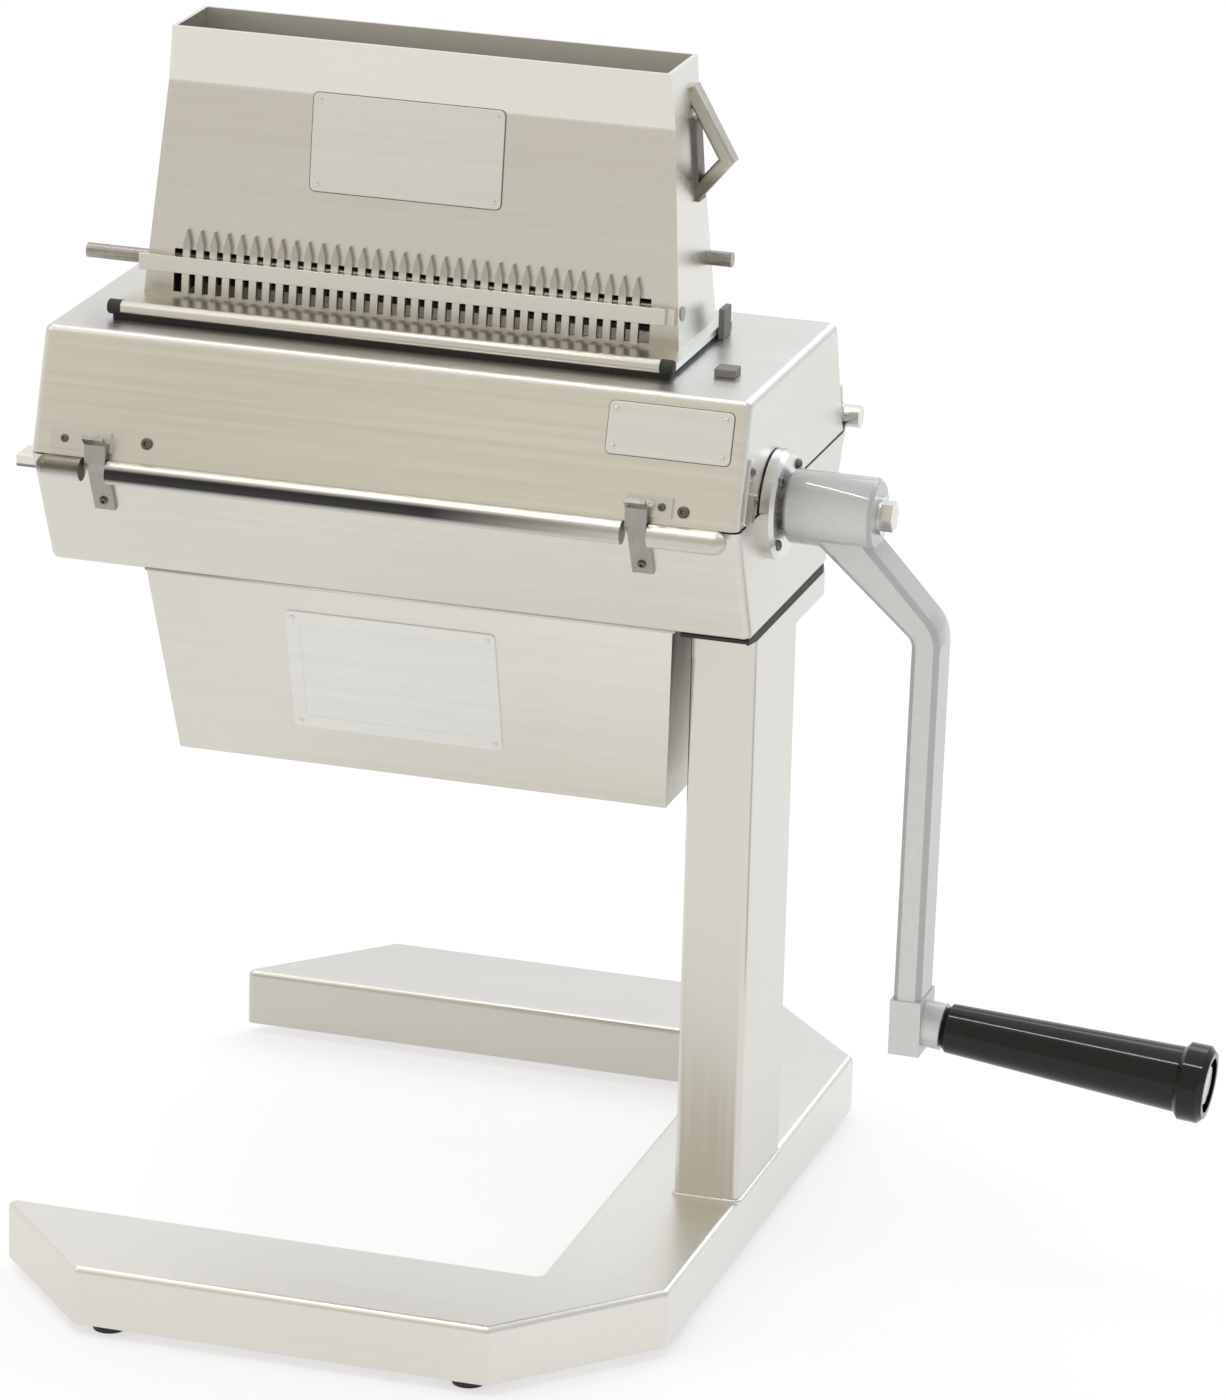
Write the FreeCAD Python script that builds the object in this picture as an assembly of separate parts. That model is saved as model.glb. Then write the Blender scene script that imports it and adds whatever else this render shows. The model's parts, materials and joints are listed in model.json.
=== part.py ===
import FreeCAD, Part
import math
import os

# Hand-cranked meat tenderiser: two geared knife rollers in a hinged head, on a column and a U-shaped stand.
# +X runs along the rollers towards the crank, +Y to the rear and +Z up, in millimetres.
# The pieces are drawn with X = 0 on the column's outer face, Y = 0 on the stand's mid plane and Z = 0 on
# the floor. On export they move along X and Y so that the origin is the bottom centre of the machine.

# Fits
slip = 0.3                      # gap between pieces that only lie next to each other
running = 0.05                  # radial gap of a shaft in its bush or a pin in its knuckle
overshoot = 1.0                 # how far a cutting tool passes the face that it opens

# Stand
base_length = 254.5             # from the column's outer face to the tips of the legs
base_depth = 356.0
base_top = 26.0
base_clearance = 4.0            # the skirt's height over the floor, filled by the feet
base_sheet = 2.0
base_bend = 2.5
base_lip = 18.0                 # the skirt's folded-in edge, seen from below
leg_width = 52.5
cross_bar_width = 47.5
heel_cut_length = 50.0
heel_cut_depth = 55.0
toe_cut_length = 48.0
foot_radius = 7.0
foot_taper = 1.0
foot_inset = 10.0

# Column and its fastening
column_width = 25.0
column_depth = 55.0
column_front = -36.0
column_sheet = 2.0
column_bend = 2.5
column_end_plate = 4.0
backing_plate_thickness = 4.0
backing_plate_margin = 14.0
bolt_radius = 3.0
bolt_head_flats = 10.0
bolt_head_height = 4.0
bolt_inset = 8.5                # from the column's outer faces to its bolt axes
saddle_height = 10.0
saddle_depth = 92.0
saddle_bend = 2.0
seal_thickness = 3.0

# Head, a six-sided box that splits at its widest line
head_length = 268.0
head_overhang = 1.8             # past the column's outer face
head_bottom = 248.0
head_lower_height = 46.0        # from the bottom up to the seam
head_upper_height = 45.0        # from the seam up to the top
head_wall_room = 12.0           # from a stripper comb's outer face out to the seam's edge
head_bottom_inset = 21.0        # of the bottom edges behind the seam's edge
head_top_inset = 14.0           # of the top edges behind the seam's edge
head_sheet = 2.0
head_bend = 3.0
seam_gap = 0.6
cover_end_gap = 0.6             # between the cover's end wall and the bearing flange
bead_radius = 4.3               # of the rolled rim in front, under the seam
bead_reach = 2.9                # of the bead's axis in front of the seam's edge
bead_drop = 3.0                 # of the bead's axis under the seam
bead_clip_gap = 1.0
bead_end_gap = 8.0              # from each end of the head to the end of the bead's straight run
lug_reach = 9.0
lug_width = 13.0
lug_thickness = 4.5
lug_drop = 4.0                  # of the lug's top under the seam
lug_corner_gap = 5.0

# Discharge chute
chute_start = 27.6              # from the column's outer face to the chute's near top edge
chute_length = 201.3
chute_drop = 74.0
chute_end_taper = 6.4
chute_bottom_inset = 19.5       # of the bottom edges behind the head's bottom edges
chute_sheet = 1.5
chute_lip = 10.0

# Knife rollers
roller_spacing = 50.0
axis_drop = 1.0                 # of the roller axes under the seam
knife_count = 20
knife_teeth = 12
knife_thickness = 2.0
knife_overlap = 4.0
knife_tooth_depth = 4.5
shaft_flats = 16.0
spacer_flats = 26.0
journal_radius = 7.5
collar_radius = 12.0
collar_width = 6.0

# Gears
gear_teeth = 25
gear_width = 12.0
gear_seat_flats = 12.0
gear_addendum = 0.8             # in modules
gear_dedendum = 1.05            # in modules
gear_backlash = 0.4
pressure_angle = math.radians(20)

# Cradle that carries the rollers
cradle_thickness = 6.0
cradle_left_space = 20.0        # from the left end of the head to the left plate
cradle_right_space = 36.0       # from the right end of the head to the right plate
cradle_shoulder_drop = 2.0
cradle_edge = 2.0               # of plate over the upper tie rods
cradle_cover_gap = 4.0
bush_wall = 2.5
bush_flange_width = 2.0
bush_flange_thickness = 1.5
tie_rod_radius = 4.0
tie_rod_knife_gap = 1.5
tie_rod_low_angle = -50.0       # degrees round the roller, from its outer side
tie_rod_high_angle = 36.0

# Stripper combs beside the rollers
comb_bar_thickness = 5.0
comb_bar_drop = 13.0            # from the roller axes down to the bar's lower edge
comb_bar_height = 12.0
comb_knife_gap = 1.5
comb_finger_thickness = 3.0
comb_finger_depth = 3.0
comb_spacer_gap = 1.2
comb_start_angle = 180.0        # degrees round the roller, from its inner side over the top
comb_end_angle = 258.0
comb_finger_steps = 4

# Crank bearing
crank_shaft_radius = 6.0
bearing_flange_radius = 20.0
bearing_flange_thickness = 5.0
bearing_sleeve_radius = 11.0
bearing_sleeve_depth = 8.0
bearing_bush_radius = 9.0
cover_notch_gap = 1.5

# Crank
hub_gap = 1.2
hub_radius = 13.5
hub_length = 33.0
hub_chamfer = 1.5
arm_root = 21.0                 # from the hub's outer end back to the arm's start
arm_root_width = 16.0           # at the arm's start; it narrows to its elbow
arm_width = 10.4
arm_depth = 19.0
arm_chamfer = 2.0
arm_offset = 20.8               # from the hub's outer end out to the arm's elbow
arm_inward = 1.6                # from the elbow back in to the arm's lower end
elbow_drop = 41.0
elbow_bend = 6.0                # inner radius
crank_radius = 190.0
arm_end_height = 21.0
arm_end_margin = 0.6            # of the end block past the arm's sides
grip_boss_radius = 8.6
grip_boss_reach = 12.4          # from the arm's lower end to the boss's face
grip_tilt = 5.1                 # degrees, the grip's droop away from the arm
washer_radius = 7.0
washer_thickness = 1.5
crank_bolt_depth = 14.0

# Grip
grip_length = 99.5
grip_root_radius = 9.1
grip_swell_radius = 12.1
grip_flange_radius = 14.3
grip_flange_width = 9.0
grip_edge = 2.0
grip_recess_radius = 10.0
grip_recess_depth = 4.0
spindle_radius = 4.5
spindle_head_radius = 7.0
spindle_head_width = 3.0

# Clips and keepers in front
clip_thickness = 1.5
clip_width = 8.0
clip_left_inset = 26.4          # from the head's left end to the clip's middle
clip_right_inset = 37.1         # from the head's right end to the clip's middle
clip_drop = 20.0                # from the seam down to the strap's lower end
clip_rise = 10.0                # from the seam up to the tongue's tip
clip_tongue_gap = 2.0
clip_bend_drop = 4.0
clip_lip = 3.0
keeper_thickness = 1.2
keeper_rise = 3.0               # of the keeper's lower edge over the seam
keeper_height = 7.0
keeper_left_width = 23.0
keeper_left_shift = -7.0        # of the keeper's middle from the clip's
keeper_right_width = 17.0
keeper_right_shift = 3.5

# Rear hinges
hinge_length = 56.0
hinge_end_gap = 1.0
hinge_offset = 5.5              # from the widest line to the hinge axis
hinge_rise = 4.0                # of the hinge axis over the seam
knuckle_radius = 4.2
knuckle_gap = 0.5
pin_radius = 2.0
pin_head_width = 5.0
leaf_thickness = 2.0
leaf_reach = 18.0
leaf_root = 5.5

# Feed throat and hopper
throat_end_margin = 8.5         # of the feed opening inside the hopper's foot, at each end
throat_side_margin = 5.3        # the same in front and behind
throat_bottom_depth = 17.0
throat_drop = 15.0
throat_sheet = 1.5
hopper_middle = 140.0           # from the column's outer face to the hopper's middle
hopper_offset = 5.7             # of the hopper's middle behind the stand's mid plane
hopper_foot_length = 205.0
hopper_foot_depth = 47.6
hopper_neck_end_inset = 6.3     # of the neck inside the foot, at each end
hopper_neck_side_inset = 8.8    # the same in front and behind
hopper_neck_rise = 81.3         # of the neck over the cover's gasket
hopper_rim_end_inset = 8.15
hopper_rim_side_inset = 6.8
hopper_rise = 101.7
hopper_sheet = 1.5
gasket_thickness = 2.0
gasket_inset = 0.5
flange_thickness = 2.5
flange_side = 4.0
flange_front = 22.0
flange_rear = 8.0
flange_bead_radius = 2.5

# Comb guard on the hopper's front
window_margin = 11.5            # of the window inside the hopper's foot, at each end
window_bottom = 1.5             # up the front wall from the flange
window_top = 17.5
guard_pitch = 5.2
guard_tooth_width = 2.8
guard_thickness = 2.0
guard_bottom = 1.0
guard_shoulder = 20.0
guard_tip = 25.0
guard_bar_bottom = 9.0
guard_bar_height = 6.0
guard_bar_thickness = 2.0
guard_bar_margin = 2.0          # of the bar inside the hopper's foot, at each end
clamp_bar_shift = -3.0          # of the clamp bar's middle from the hopper's
rod_radius = 2.75
rod_rise = 12.0                 # of the cross rod's axis over the flange
rod_wall_gap = 0.6
rod_left_reach = 24.0
rod_end_proud = 0.4             # of the rod's right end past the end wall

# Small pieces on the hopper and the cover
handle_bar = 5.0
handle_depth = 8.0
handle_bend = 1.5
handle_top_drop = 10.0
handle_reach = 13.1
handle_corner_drop = 35.5
handle_bottom_drop = 52.9
handle_behind_middle = 9.0
strap_thickness = 1.5
strap_top_gap = 1.0             # under the hopper's neck line
strap_length = 30.0
side_pin_radius = 2.75
side_pin_reach = 9.0
side_pin_rise = 24.5
side_pin_inset = 7.8            # of the pin's axis before the foot's rear edge
pad_length = 8.0
pad_thickness = 3.0
pad_end_gap = 14.0
pad_behind_front = 26.0
stop_thickness = 2.2
stop_depth = 9.0
stop_height = 11.5
stop_inset = 12.8               # of the stop's front face before the foot's rear edge

# Places that follow from the sizes above
seam_height = head_bottom + head_lower_height
head_top = seam_height + head_upper_height
roller_height = seam_height - axis_drop
knife_radius = roller_spacing / 2 + knife_overlap / 2
head_half_depth = roller_spacing / 2 + knife_radius + comb_knife_gap + comb_bar_thickness + head_wall_room
head_bottom_half = head_half_depth - head_bottom_inset
head_top_half = head_half_depth - head_top_inset
head_right = head_overhang
head_left = head_right - head_length
cover_right = head_right - cover_end_gap
saddle_top = head_bottom - seal_thickness
column_top = saddle_top - saddle_height
column_rear = column_front + column_depth
chute_right = -chute_start
chute_left = chute_right - chute_length
drive_y = -roller_spacing / 2
idler_y = roller_spacing / 2
gear_module = roller_spacing / gear_teeth
bush_radius = journal_radius + bush_wall
left_plate = head_left + cradle_left_space
right_plate = head_right - cradle_right_space - cradle_thickness
stack_left = left_plate + cradle_thickness + bush_flange_thickness + slip
stack_right = right_plate - bush_flange_thickness - slip
knife_pitch = (stack_right - stack_left) / knife_count
gear_left = right_plate + cradle_thickness + bush_flange_thickness + slip
gear_right = gear_left + gear_width
collar_left = left_plate - bush_flange_thickness - slip - collar_width
tie_rod_reach = knife_radius + tie_rod_knife_gap + tie_rod_radius
cradle_top = (roller_height + tie_rod_reach * math.sin(math.radians(tie_rod_high_angle))
              + tie_rod_radius + cradle_edge)
hub_left = head_right + bearing_flange_thickness + hub_gap
hub_right = hub_left + hub_length
elbow_x = hub_right + arm_offset
arm_foot = elbow_x - arm_inward
grip_z = roller_height - crank_radius
boss_end = arm_foot + grip_boss_reach
grip_end = boss_end + slip + grip_length
clip_left = head_left + clip_left_inset
clip_right = head_right - clip_right_inset
hinge_y = head_half_depth + hinge_offset
hinge_z = seam_height + hinge_rise
flange_bottom = head_top + gasket_thickness
hopper_foot = flange_bottom + flange_thickness
hopper_neck = flange_bottom + hopper_neck_rise
hopper_top = flange_bottom + hopper_rise
hopper_x = -hopper_middle
throat_length = hopper_foot_length - 2 * throat_end_margin
throat_top_depth = hopper_foot_depth - 2 * throat_side_margin
window_length = hopper_foot_length - 2 * window_margin
guard_bar_length = hopper_foot_length - 2 * guard_bar_margin


def vec(x, y, z):
    return FreeCAD.Vector(x, y, z)


def prism_x(outline, x0, x1):
    """Solid with the (y, z) outline as its section, from x0 to x1."""
    points = [vec(x0, y, z) for y, z in outline]
    return Part.Face(Part.makePolygon(points + points[:1])).extrude(vec(x1 - x0, 0, 0))


def prism_y(outline, y0, y1):
    """Solid with the (x, z) outline as its section, from y0 to y1."""
    points = [vec(x, y0, z) for x, z in outline]
    return Part.Face(Part.makePolygon(points + points[:1])).extrude(vec(0, y1 - y0, 0))


def prism_z(outline, z0, z1, inset=0.0):
    """Solid with the (x, y) outline as its plan, drawn in by inset, from z0 to z1."""
    points = [vec(x, y, z0) for x, y in outline]
    plan = Part.Face(Part.makePolygon(points + points[:1]))
    if inset:
        plan = plan.makeOffset2D(-inset, 2)
    return plan.extrude(vec(0, 0, z1 - z0))


def block(x0, x1, y0, y1, z0, z1):
    return Part.makeBox(x1 - x0, y1 - y0, z1 - z0, vec(x0, y0, z0))


def rod_x(radius, x0, x1, y, z):
    return Part.makeCylinder(radius, x1 - x0, vec(x0, y, z), vec(1, 0, 0))


def rod_z(radius, x, y, z0, z1):
    return Part.makeCylinder(radius, z1 - z0, vec(x, y, z0))


def tube_x(outer, inner, x0, x1, y, z):
    return rod_x(outer, x0, x1, y, z).cut(rod_x(inner, x0 - overshoot, x1 + overshoot, y, z))


def rectangle(x0, x1, y0, y1):
    return [(x0, y0), (x1, y0), (x1, y1), (x0, y1)]


def corner_radius(flats):
    """From the middle to a corner of a hexagon that measures flats from side to side."""
    return flats / 2 / math.cos(math.radians(30))


def hexagon(flats, a, b):
    """Corners of a hexagon that measures flats from side to side, about the point (a, b)."""
    radius = corner_radius(flats)
    turns = [math.radians(60 * k) for k in range(6)]
    return [(a + radius * math.cos(turn), b + radius * math.sin(turn)) for turn in turns]


def ribbon(path, *widths):
    """Outline of a strip that follows the path's straight runs, with mitred corners.

    The last of the widths holds for the rest of the path's points.
    """
    count = len(path)
    runs = [(path[k + 1][0] - path[k][0], path[k + 1][1] - path[k][1]) for k in range(count - 1)]
    units = [(a / math.hypot(a, b), b / math.hypot(a, b)) for a, b in runs]
    left = []
    right = []
    for k, (a, b) in enumerate(path):
        before = units[max(k - 1, 0)]
        after = units[min(k, count - 2)]
        normal = (-before[1] - after[1], before[0] + after[0])
        width = widths[min(k, len(widths) - 1)]
        scale = width / (1 + before[0] * after[0] + before[1] * after[1]) / 2
        left.append((a + normal[0] * scale, b + normal[1] * scale))
        right.append((a - normal[0] * scale, b - normal[1] * scale))
    return left + right[::-1]


def loft(levels, inset=0.0):
    """Solid with flat walls through rectangles, each given as (z, x0, x1, y0, y1) and drawn in by inset."""
    wires = []
    for z, x0, x1, y0, y1 in levels:
        corners = rectangle(x0 + inset, x1 - inset, y0 + inset, y1 - inset)
        points = [vec(x, y, z) for x, y in corners]
        wires.append(Part.makePolygon(points + points[:1]))
    return Part.makeLoft(wires, True, True)


def join(pieces):
    return pieces[0].multiFuse(pieces[1:]).removeSplitter()


def wall_slope(z):
    """How fast the head's half depth grows with height."""
    if z <= seam_height:
        return head_bottom_inset / head_lower_height
    return -head_top_inset / head_upper_height


def wall_depth(z, inset=0.0):
    """Half depth of the head at height z, to a surface set in by inset from the outer wall."""
    slope = wall_slope(z)
    return head_half_depth + slope * (z - seam_height) - inset * math.hypot(1, slope)


def wall_point(z, out, side):
    """Point (y, z) that stands square off the head's outer wall; side is -1 in front and 1 behind."""
    slope = wall_slope(z)
    scale = out / math.hypot(1, slope)
    return (side * (wall_depth(z) + scale), z - slope * scale)


def base_outline():
    half = base_depth / 2
    rear = [
        (0, half - heel_cut_depth),
        (-heel_cut_length, half),
        (toe_cut_length - base_length, half),
        (-base_length, half - leg_width),
        (-cross_bar_width, half - leg_width),
    ]
    return rear + [(x, -y) for x, y in rear[::-1]]


def column_bolt_places():
    xs = (-bolt_inset, bolt_inset - column_width)
    ys = (column_front + bolt_inset, column_rear - bolt_inset)
    return [(x, y) for x in xs for y in ys]


def base_frame():
    """Folded sheet: a closed top, a skirt all round and a lip turned in at the skirt's foot."""
    body = prism_z(base_outline(), base_clearance, base_top)
    folded = [edge for edge in body.Edges if edge.BoundBox.ZMax > base_top - slip]
    body = body.makeFillet(base_bend, folded)
    hollow = prism_z(base_outline(), base_clearance + base_sheet, base_top - base_sheet, base_sheet)
    mouth = prism_z(base_outline(), base_clearance - overshoot, base_clearance + base_sheet + overshoot,
                    base_lip)
    holes = [rod_z(bolt_radius + slip, x, y, base_top - base_sheet - overshoot, base_top + overshoot)
             for x, y in column_bolt_places()]
    return body.cut([hollow, mouth] + holes)


def base_feet():
    side = base_depth / 2 - foot_inset
    inner = base_depth / 2 - heel_cut_depth - 2 * foot_inset
    toe = toe_cut_length - base_length + foot_inset
    rear = [(toe, side), (-heel_cut_length - foot_inset, side), (-foot_inset, inner)]
    places = rear + [(x, -y) for x, y in rear]
    return [Part.makeCone(foot_radius - foot_taper, foot_radius, base_clearance, vec(x, y, 0))
            for x, y in places]


def column():
    """Box tube with a plate welded into each end."""
    tube = block(-column_width, 0, column_front, column_rear, base_top, column_top)
    corners = [edge for edge in tube.Edges if edge.BoundBox.ZLength > slip]
    tube = tube.makeFillet(column_bend, corners)
    wall = column_sheet
    hollow = block(wall - column_width, -wall, column_front + wall, column_rear - wall,
                   base_top + column_end_plate, column_top - column_end_plate)
    holes = [rod_z(bolt_radius + running, x, y, base_top - overshoot, base_top + column_end_plate + overshoot)
             for x, y in column_bolt_places()]
    return tube.cut([hollow] + holes)


def column_backing_plate():
    top = base_top - base_sheet
    gap = base_sheet + slip
    plate = block(gap - cross_bar_width, -gap, column_front - backing_plate_margin,
                  column_rear + backing_plate_margin, top - backing_plate_thickness, top)
    holes = [rod_z(bolt_radius + slip, x, y, top - backing_plate_thickness - overshoot, top + overshoot)
             for x, y in column_bolt_places()]
    return plate.cut(holes)


def column_bolts():
    head_top_z = base_top - base_sheet - backing_plate_thickness
    bolts = []
    for x, y in column_bolt_places():
        head = prism_z(hexagon(bolt_head_flats, x, y), head_top_z - bolt_head_height, head_top_z)
        shank = rod_z(bolt_radius, x, y, head_top_z, base_top + column_end_plate)
        bolts.append(join([head, shank]))
    return bolts


def saddle():
    bar = block(-column_width, 0, column_front, column_front + saddle_depth, column_top, saddle_top)
    corners = [edge for edge in bar.Edges if edge.BoundBox.ZLength > slip]
    return bar.makeFillet(saddle_bend, corners)


def saddle_seal():
    half = head_bottom_half - overshoot
    return block(-column_width, 0, -half, half, saddle_top, head_bottom)


def bead_spans():
    """The rolled rim's runs along X, which leave room for the clips."""
    room = clip_width / 2 + bead_clip_gap
    return [(head_left + bead_end_gap, clip_left - room), (clip_left + room, clip_right - room),
            (clip_right + room, head_right - bead_end_gap)]


def front_bead():
    """Pieces of the rolled rim: its runs, and a round end on the first and the last of them."""
    y = -head_half_depth - bead_reach
    z = seam_height - bead_drop
    spans = bead_spans()
    runs = [rod_x(bead_radius, x0, x1, y, z) for x0, x1 in spans]
    ends = [Part.makeSphere(bead_radius, vec(x, y, z)) for x in (spans[0][0], spans[-1][1])]
    return runs + ends


def lower_housing():
    """Trough below the seam, open on top and over the chute, with a rolled rim and a seat for the bearing."""
    half = head_bottom_half
    rim = head_half_depth
    body = prism_x([(-half, head_bottom), (half, head_bottom), (rim, seam_height), (-rim, seam_height)],
                   head_left, head_right)
    folded = [edge for edge in body.Edges if edge.BoundBox.ZMin < seam_height - slip]
    body = body.makeFillet(head_bend, folded)
    floor = head_bottom + head_sheet
    inner = wall_depth(floor, head_sheet)
    inner_rim = wall_depth(seam_height, head_sheet)
    hollow = prism_x([(-inner, floor), (inner, floor), (inner_rim, seam_height), (-inner_rim, seam_height)],
                     head_left + head_sheet, head_right - head_sheet)
    mouth_half = head_bottom_half - chute_lip
    mouth = block(chute_left + chute_lip, chute_right - chute_lip, -mouth_half, mouth_half,
                  head_bottom - overshoot, floor + overshoot)
    seat = rod_x(bearing_sleeve_radius + slip, head_right - head_sheet - overshoot, head_right + overshoot,
                 drive_y, roller_height)
    return join([body] + front_bead()).cut([hollow, mouth, seat])


def housing_lug():
    """Small lug on the lower housing's left end."""
    top = seam_height - lug_drop
    bottom = top - lug_thickness
    front = -wall_depth(bottom) + lug_corner_gap
    return block(head_left - lug_reach, head_left, front, front + lug_width, bottom, top)


def discharge_chute():
    """Tapered sheet chute, hung from a lip under the head."""
    top = head_bottom
    bottom = head_bottom - chute_drop
    top_half = head_bottom_half
    bottom_half = head_bottom_half - chute_bottom_inset
    levels = [
        (bottom, chute_left + chute_end_taper, chute_right - chute_end_taper, -bottom_half, bottom_half),
        (top, chute_left, chute_right, -top_half, top_half),
    ]
    outer = loft(levels)
    walls = outer.cut(loft(levels, chute_sheet))
    slab = block(chute_left, chute_right, -top_half, top_half, top - chute_sheet, top)
    mouth = block(chute_left + chute_lip, chute_right - chute_lip, chute_lip - top_half, top_half - chute_lip,
                  top - chute_sheet - overshoot, top + overshoot)
    return join([walls, outer.common(slab).cut(mouth)])


def cradle_plate(x0):
    """Plate that stands in the trough, between its slanted walls, with a bore for each roller's bush."""
    floor = head_bottom + head_sheet
    shoulder = seam_height - cradle_shoulder_drop
    low = wall_depth(floor, head_sheet)
    mid = wall_depth(shoulder, head_sheet)
    high = wall_depth(cradle_top, head_sheet) - cradle_cover_gap
    outline = [(-low, floor), (low, floor), (mid, shoulder), (high, shoulder), (high, cradle_top),
               (-high, cradle_top), (-high, shoulder), (-mid, shoulder)]
    x1 = x0 + cradle_thickness
    bores = [rod_x(bush_radius, x0 - overshoot, x1 + overshoot, y, roller_height) for y in (drive_y, idler_y)]
    return prism_x(outline, x0, x1).cut(bores)


def roller_bushes():
    """Bronze bushes with a thrust rim on each side of their plate."""
    bushes = []
    for plate in (left_plate, right_plate):
        for y in (drive_y, idler_y):
            far = plate + cradle_thickness
            sleeve = rod_x(bush_radius, plate, far, y, roller_height)
            rims = [rod_x(bush_radius + bush_flange_width, x, x + bush_flange_thickness, y, roller_height)
                    for x in (plate - bush_flange_thickness, far)]
            bore = rod_x(journal_radius + running, plate - bush_flange_thickness - overshoot,
                         far + bush_flange_thickness + overshoot, y, roller_height)
            bushes.append(join([sleeve] + rims).cut(bore))
    return bushes


def cradle_tie_rods():
    """Two rods beside each roller, which hold the plates apart."""
    rods = []
    for angle in (tie_rod_low_angle, tie_rod_high_angle):
        y = roller_spacing / 2 + tie_rod_reach * math.cos(math.radians(angle))
        z = roller_height + tie_rod_reach * math.sin(math.radians(angle))
        rods += [rod_x(tie_rod_radius, left_plate + cradle_thickness, right_plate, side * y, z)
                 for side in (-1, 1)]
    return rods


def knife_places(shift):
    """Middle of each knife along its roller; shift is -1 for the drive roller and 1 for the idler."""
    return [stack_left + knife_pitch * (k + 0.5 + shift / 4) for k in range(knife_count)]


def stripper_comb(side):
    """Bar with a finger in each gap between two knives, which follows the spacer round its outer side."""
    axis = side * roller_spacing / 2
    near = side * (roller_spacing / 2 + knife_radius + comb_knife_gap)
    far = near + side * comb_bar_thickness
    bar_bottom = roller_height - comb_bar_drop
    bar_top = bar_bottom + comb_bar_height
    bar = block(left_plate + cradle_thickness, right_plate, min(near, far), max(near, far),
                bar_bottom, bar_top)
    wrap = corner_radius(spacer_flats) + comb_spacer_gap
    step = (comb_end_angle - comb_start_angle) / (comb_finger_steps - 1)
    turns = [math.radians(comb_start_angle + step * k) for k in range(comb_finger_steps)]
    inner = [(axis - side * wrap * math.cos(turn), roller_height + wrap * math.sin(turn)) for turn in turns]
    outer_radius = wrap + comb_finger_depth
    outer = [(axis - side * outer_radius * math.cos(turn), roller_height + outer_radius * math.sin(turn))
             for turn in turns[:0:-1]]
    outline = [(near, bar_top)] + inner + outer + [(near, bar_bottom)]
    gaps = [place + knife_pitch / 2 for place in knife_places(side)[:-1]]
    half = comb_finger_thickness / 2
    fingers = [prism_x(outline, x - half, x + half) for x in gaps]
    return join([bar] + fingers)


def bearing_flange():
    """Round flange on the lower housing's end wall, with a sleeve through the wall."""
    outer = head_right + bearing_flange_thickness
    inner = head_right - bearing_sleeve_depth
    disc = rod_x(bearing_flange_radius, head_right, outer, drive_y, roller_height)
    rim = [edge for edge in disc.Edges if edge.BoundBox.XMin > outer - slip]
    disc = disc.makeChamfer(hub_chamfer, rim)
    sleeve = rod_x(bearing_sleeve_radius, inner, head_right, drive_y, roller_height)
    bore = rod_x(bearing_bush_radius, inner - overshoot, outer + overshoot, drive_y, roller_height)
    return join([disc, sleeve]).cut(bore)


def bearing_bush():
    return tube_x(bearing_bush_radius, crank_shaft_radius + running, head_right - bearing_sleeve_depth,
                  head_right + bearing_flange_thickness, drive_y, roller_height)


def front_clip(x):
    """Spring strap on the lower housing; its tongue stands in front of the cover's edge."""
    half_sheet = clip_thickness / 2
    tongue = -(head_half_depth + clip_tongue_gap + half_sheet)
    tip = seam_height + clip_rise
    path = [
        wall_point(seam_height - clip_drop, half_sheet, -1),
        wall_point(seam_height - clip_bend_drop, half_sheet, -1),
        (tongue, seam_height),
        (tongue, tip - clip_lip),
        (tongue - clip_lip, tip),
    ]
    return prism_x(ribbon(path, clip_thickness), x - clip_width / 2, x + clip_width / 2)


def hinge_starts():
    return [head_left + hinge_end_gap, head_right - hinge_end_gap - hinge_length]


def knuckle_spans(start):
    """One hinge's three knuckles: the outer two belong to the lower leaf, the middle one to the upper."""
    width = (hinge_length - 2 * knuckle_gap) / 3
    step = width + knuckle_gap
    return [(start + step * k, start + step * k + width) for k in range(3)]


def hinge_leaf(start, spans, tip, root):
    """Leaf on the rear wall between heights tip and root, rolled into knuckles round the pin."""
    half = leaf_thickness / 2
    end = wall_point(root, half, 1)
    plate = prism_x(ribbon([wall_point(tip, half, 1), end], leaf_thickness), start, start + hinge_length)
    pieces = [plate]
    for x0, x1 in spans:
        pieces.append(prism_x(ribbon([end, (hinge_y, hinge_z)], leaf_thickness), x0, x1))
        pieces.append(rod_x(knuckle_radius, x0, x1, hinge_y, hinge_z))
    bore = rod_x(pin_radius + running, start - overshoot, start + hinge_length + overshoot, hinge_y, hinge_z)
    return join(pieces).cut(bore)


def hinge_lower_leaves():
    tip = seam_height - leaf_reach
    root = seam_height - leaf_root
    return [hinge_leaf(start, knuckle_spans(start)[::2], tip, root) for start in hinge_starts()]


def hinge_upper_leaves():
    tip = seam_height + leaf_reach
    root = seam_height + leaf_root
    return [hinge_leaf(start, knuckle_spans(start)[1:2], tip, root) for start in hinge_starts()]


def hinge_pins():
    pins = []
    for start in hinge_starts():
        end = start + hinge_length
        shank = rod_x(pin_radius, start, end, hinge_y, hinge_z)
        head = rod_x(knuckle_radius, end, end + pin_head_width, hinge_y, hinge_z)
        pins.append(join([shank, head]))
    return pins


def roller_core(y):
    """Shaft from the left collar to the gear: journals in the bushes, a hexagon that carries the knives."""
    left_end = left_plate + cradle_thickness + bush_flange_thickness + slip
    right_end = right_plate - bush_flange_thickness - slip
    return [
        rod_x(journal_radius, collar_left, left_end, y, roller_height),
        prism_x(hexagon(shaft_flats, y, roller_height), left_end, right_end),
        rod_x(journal_radius, right_end, gear_left, y, roller_height),
        prism_x(hexagon(gear_seat_flats, y, roller_height), gear_left, gear_right),
    ]


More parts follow.
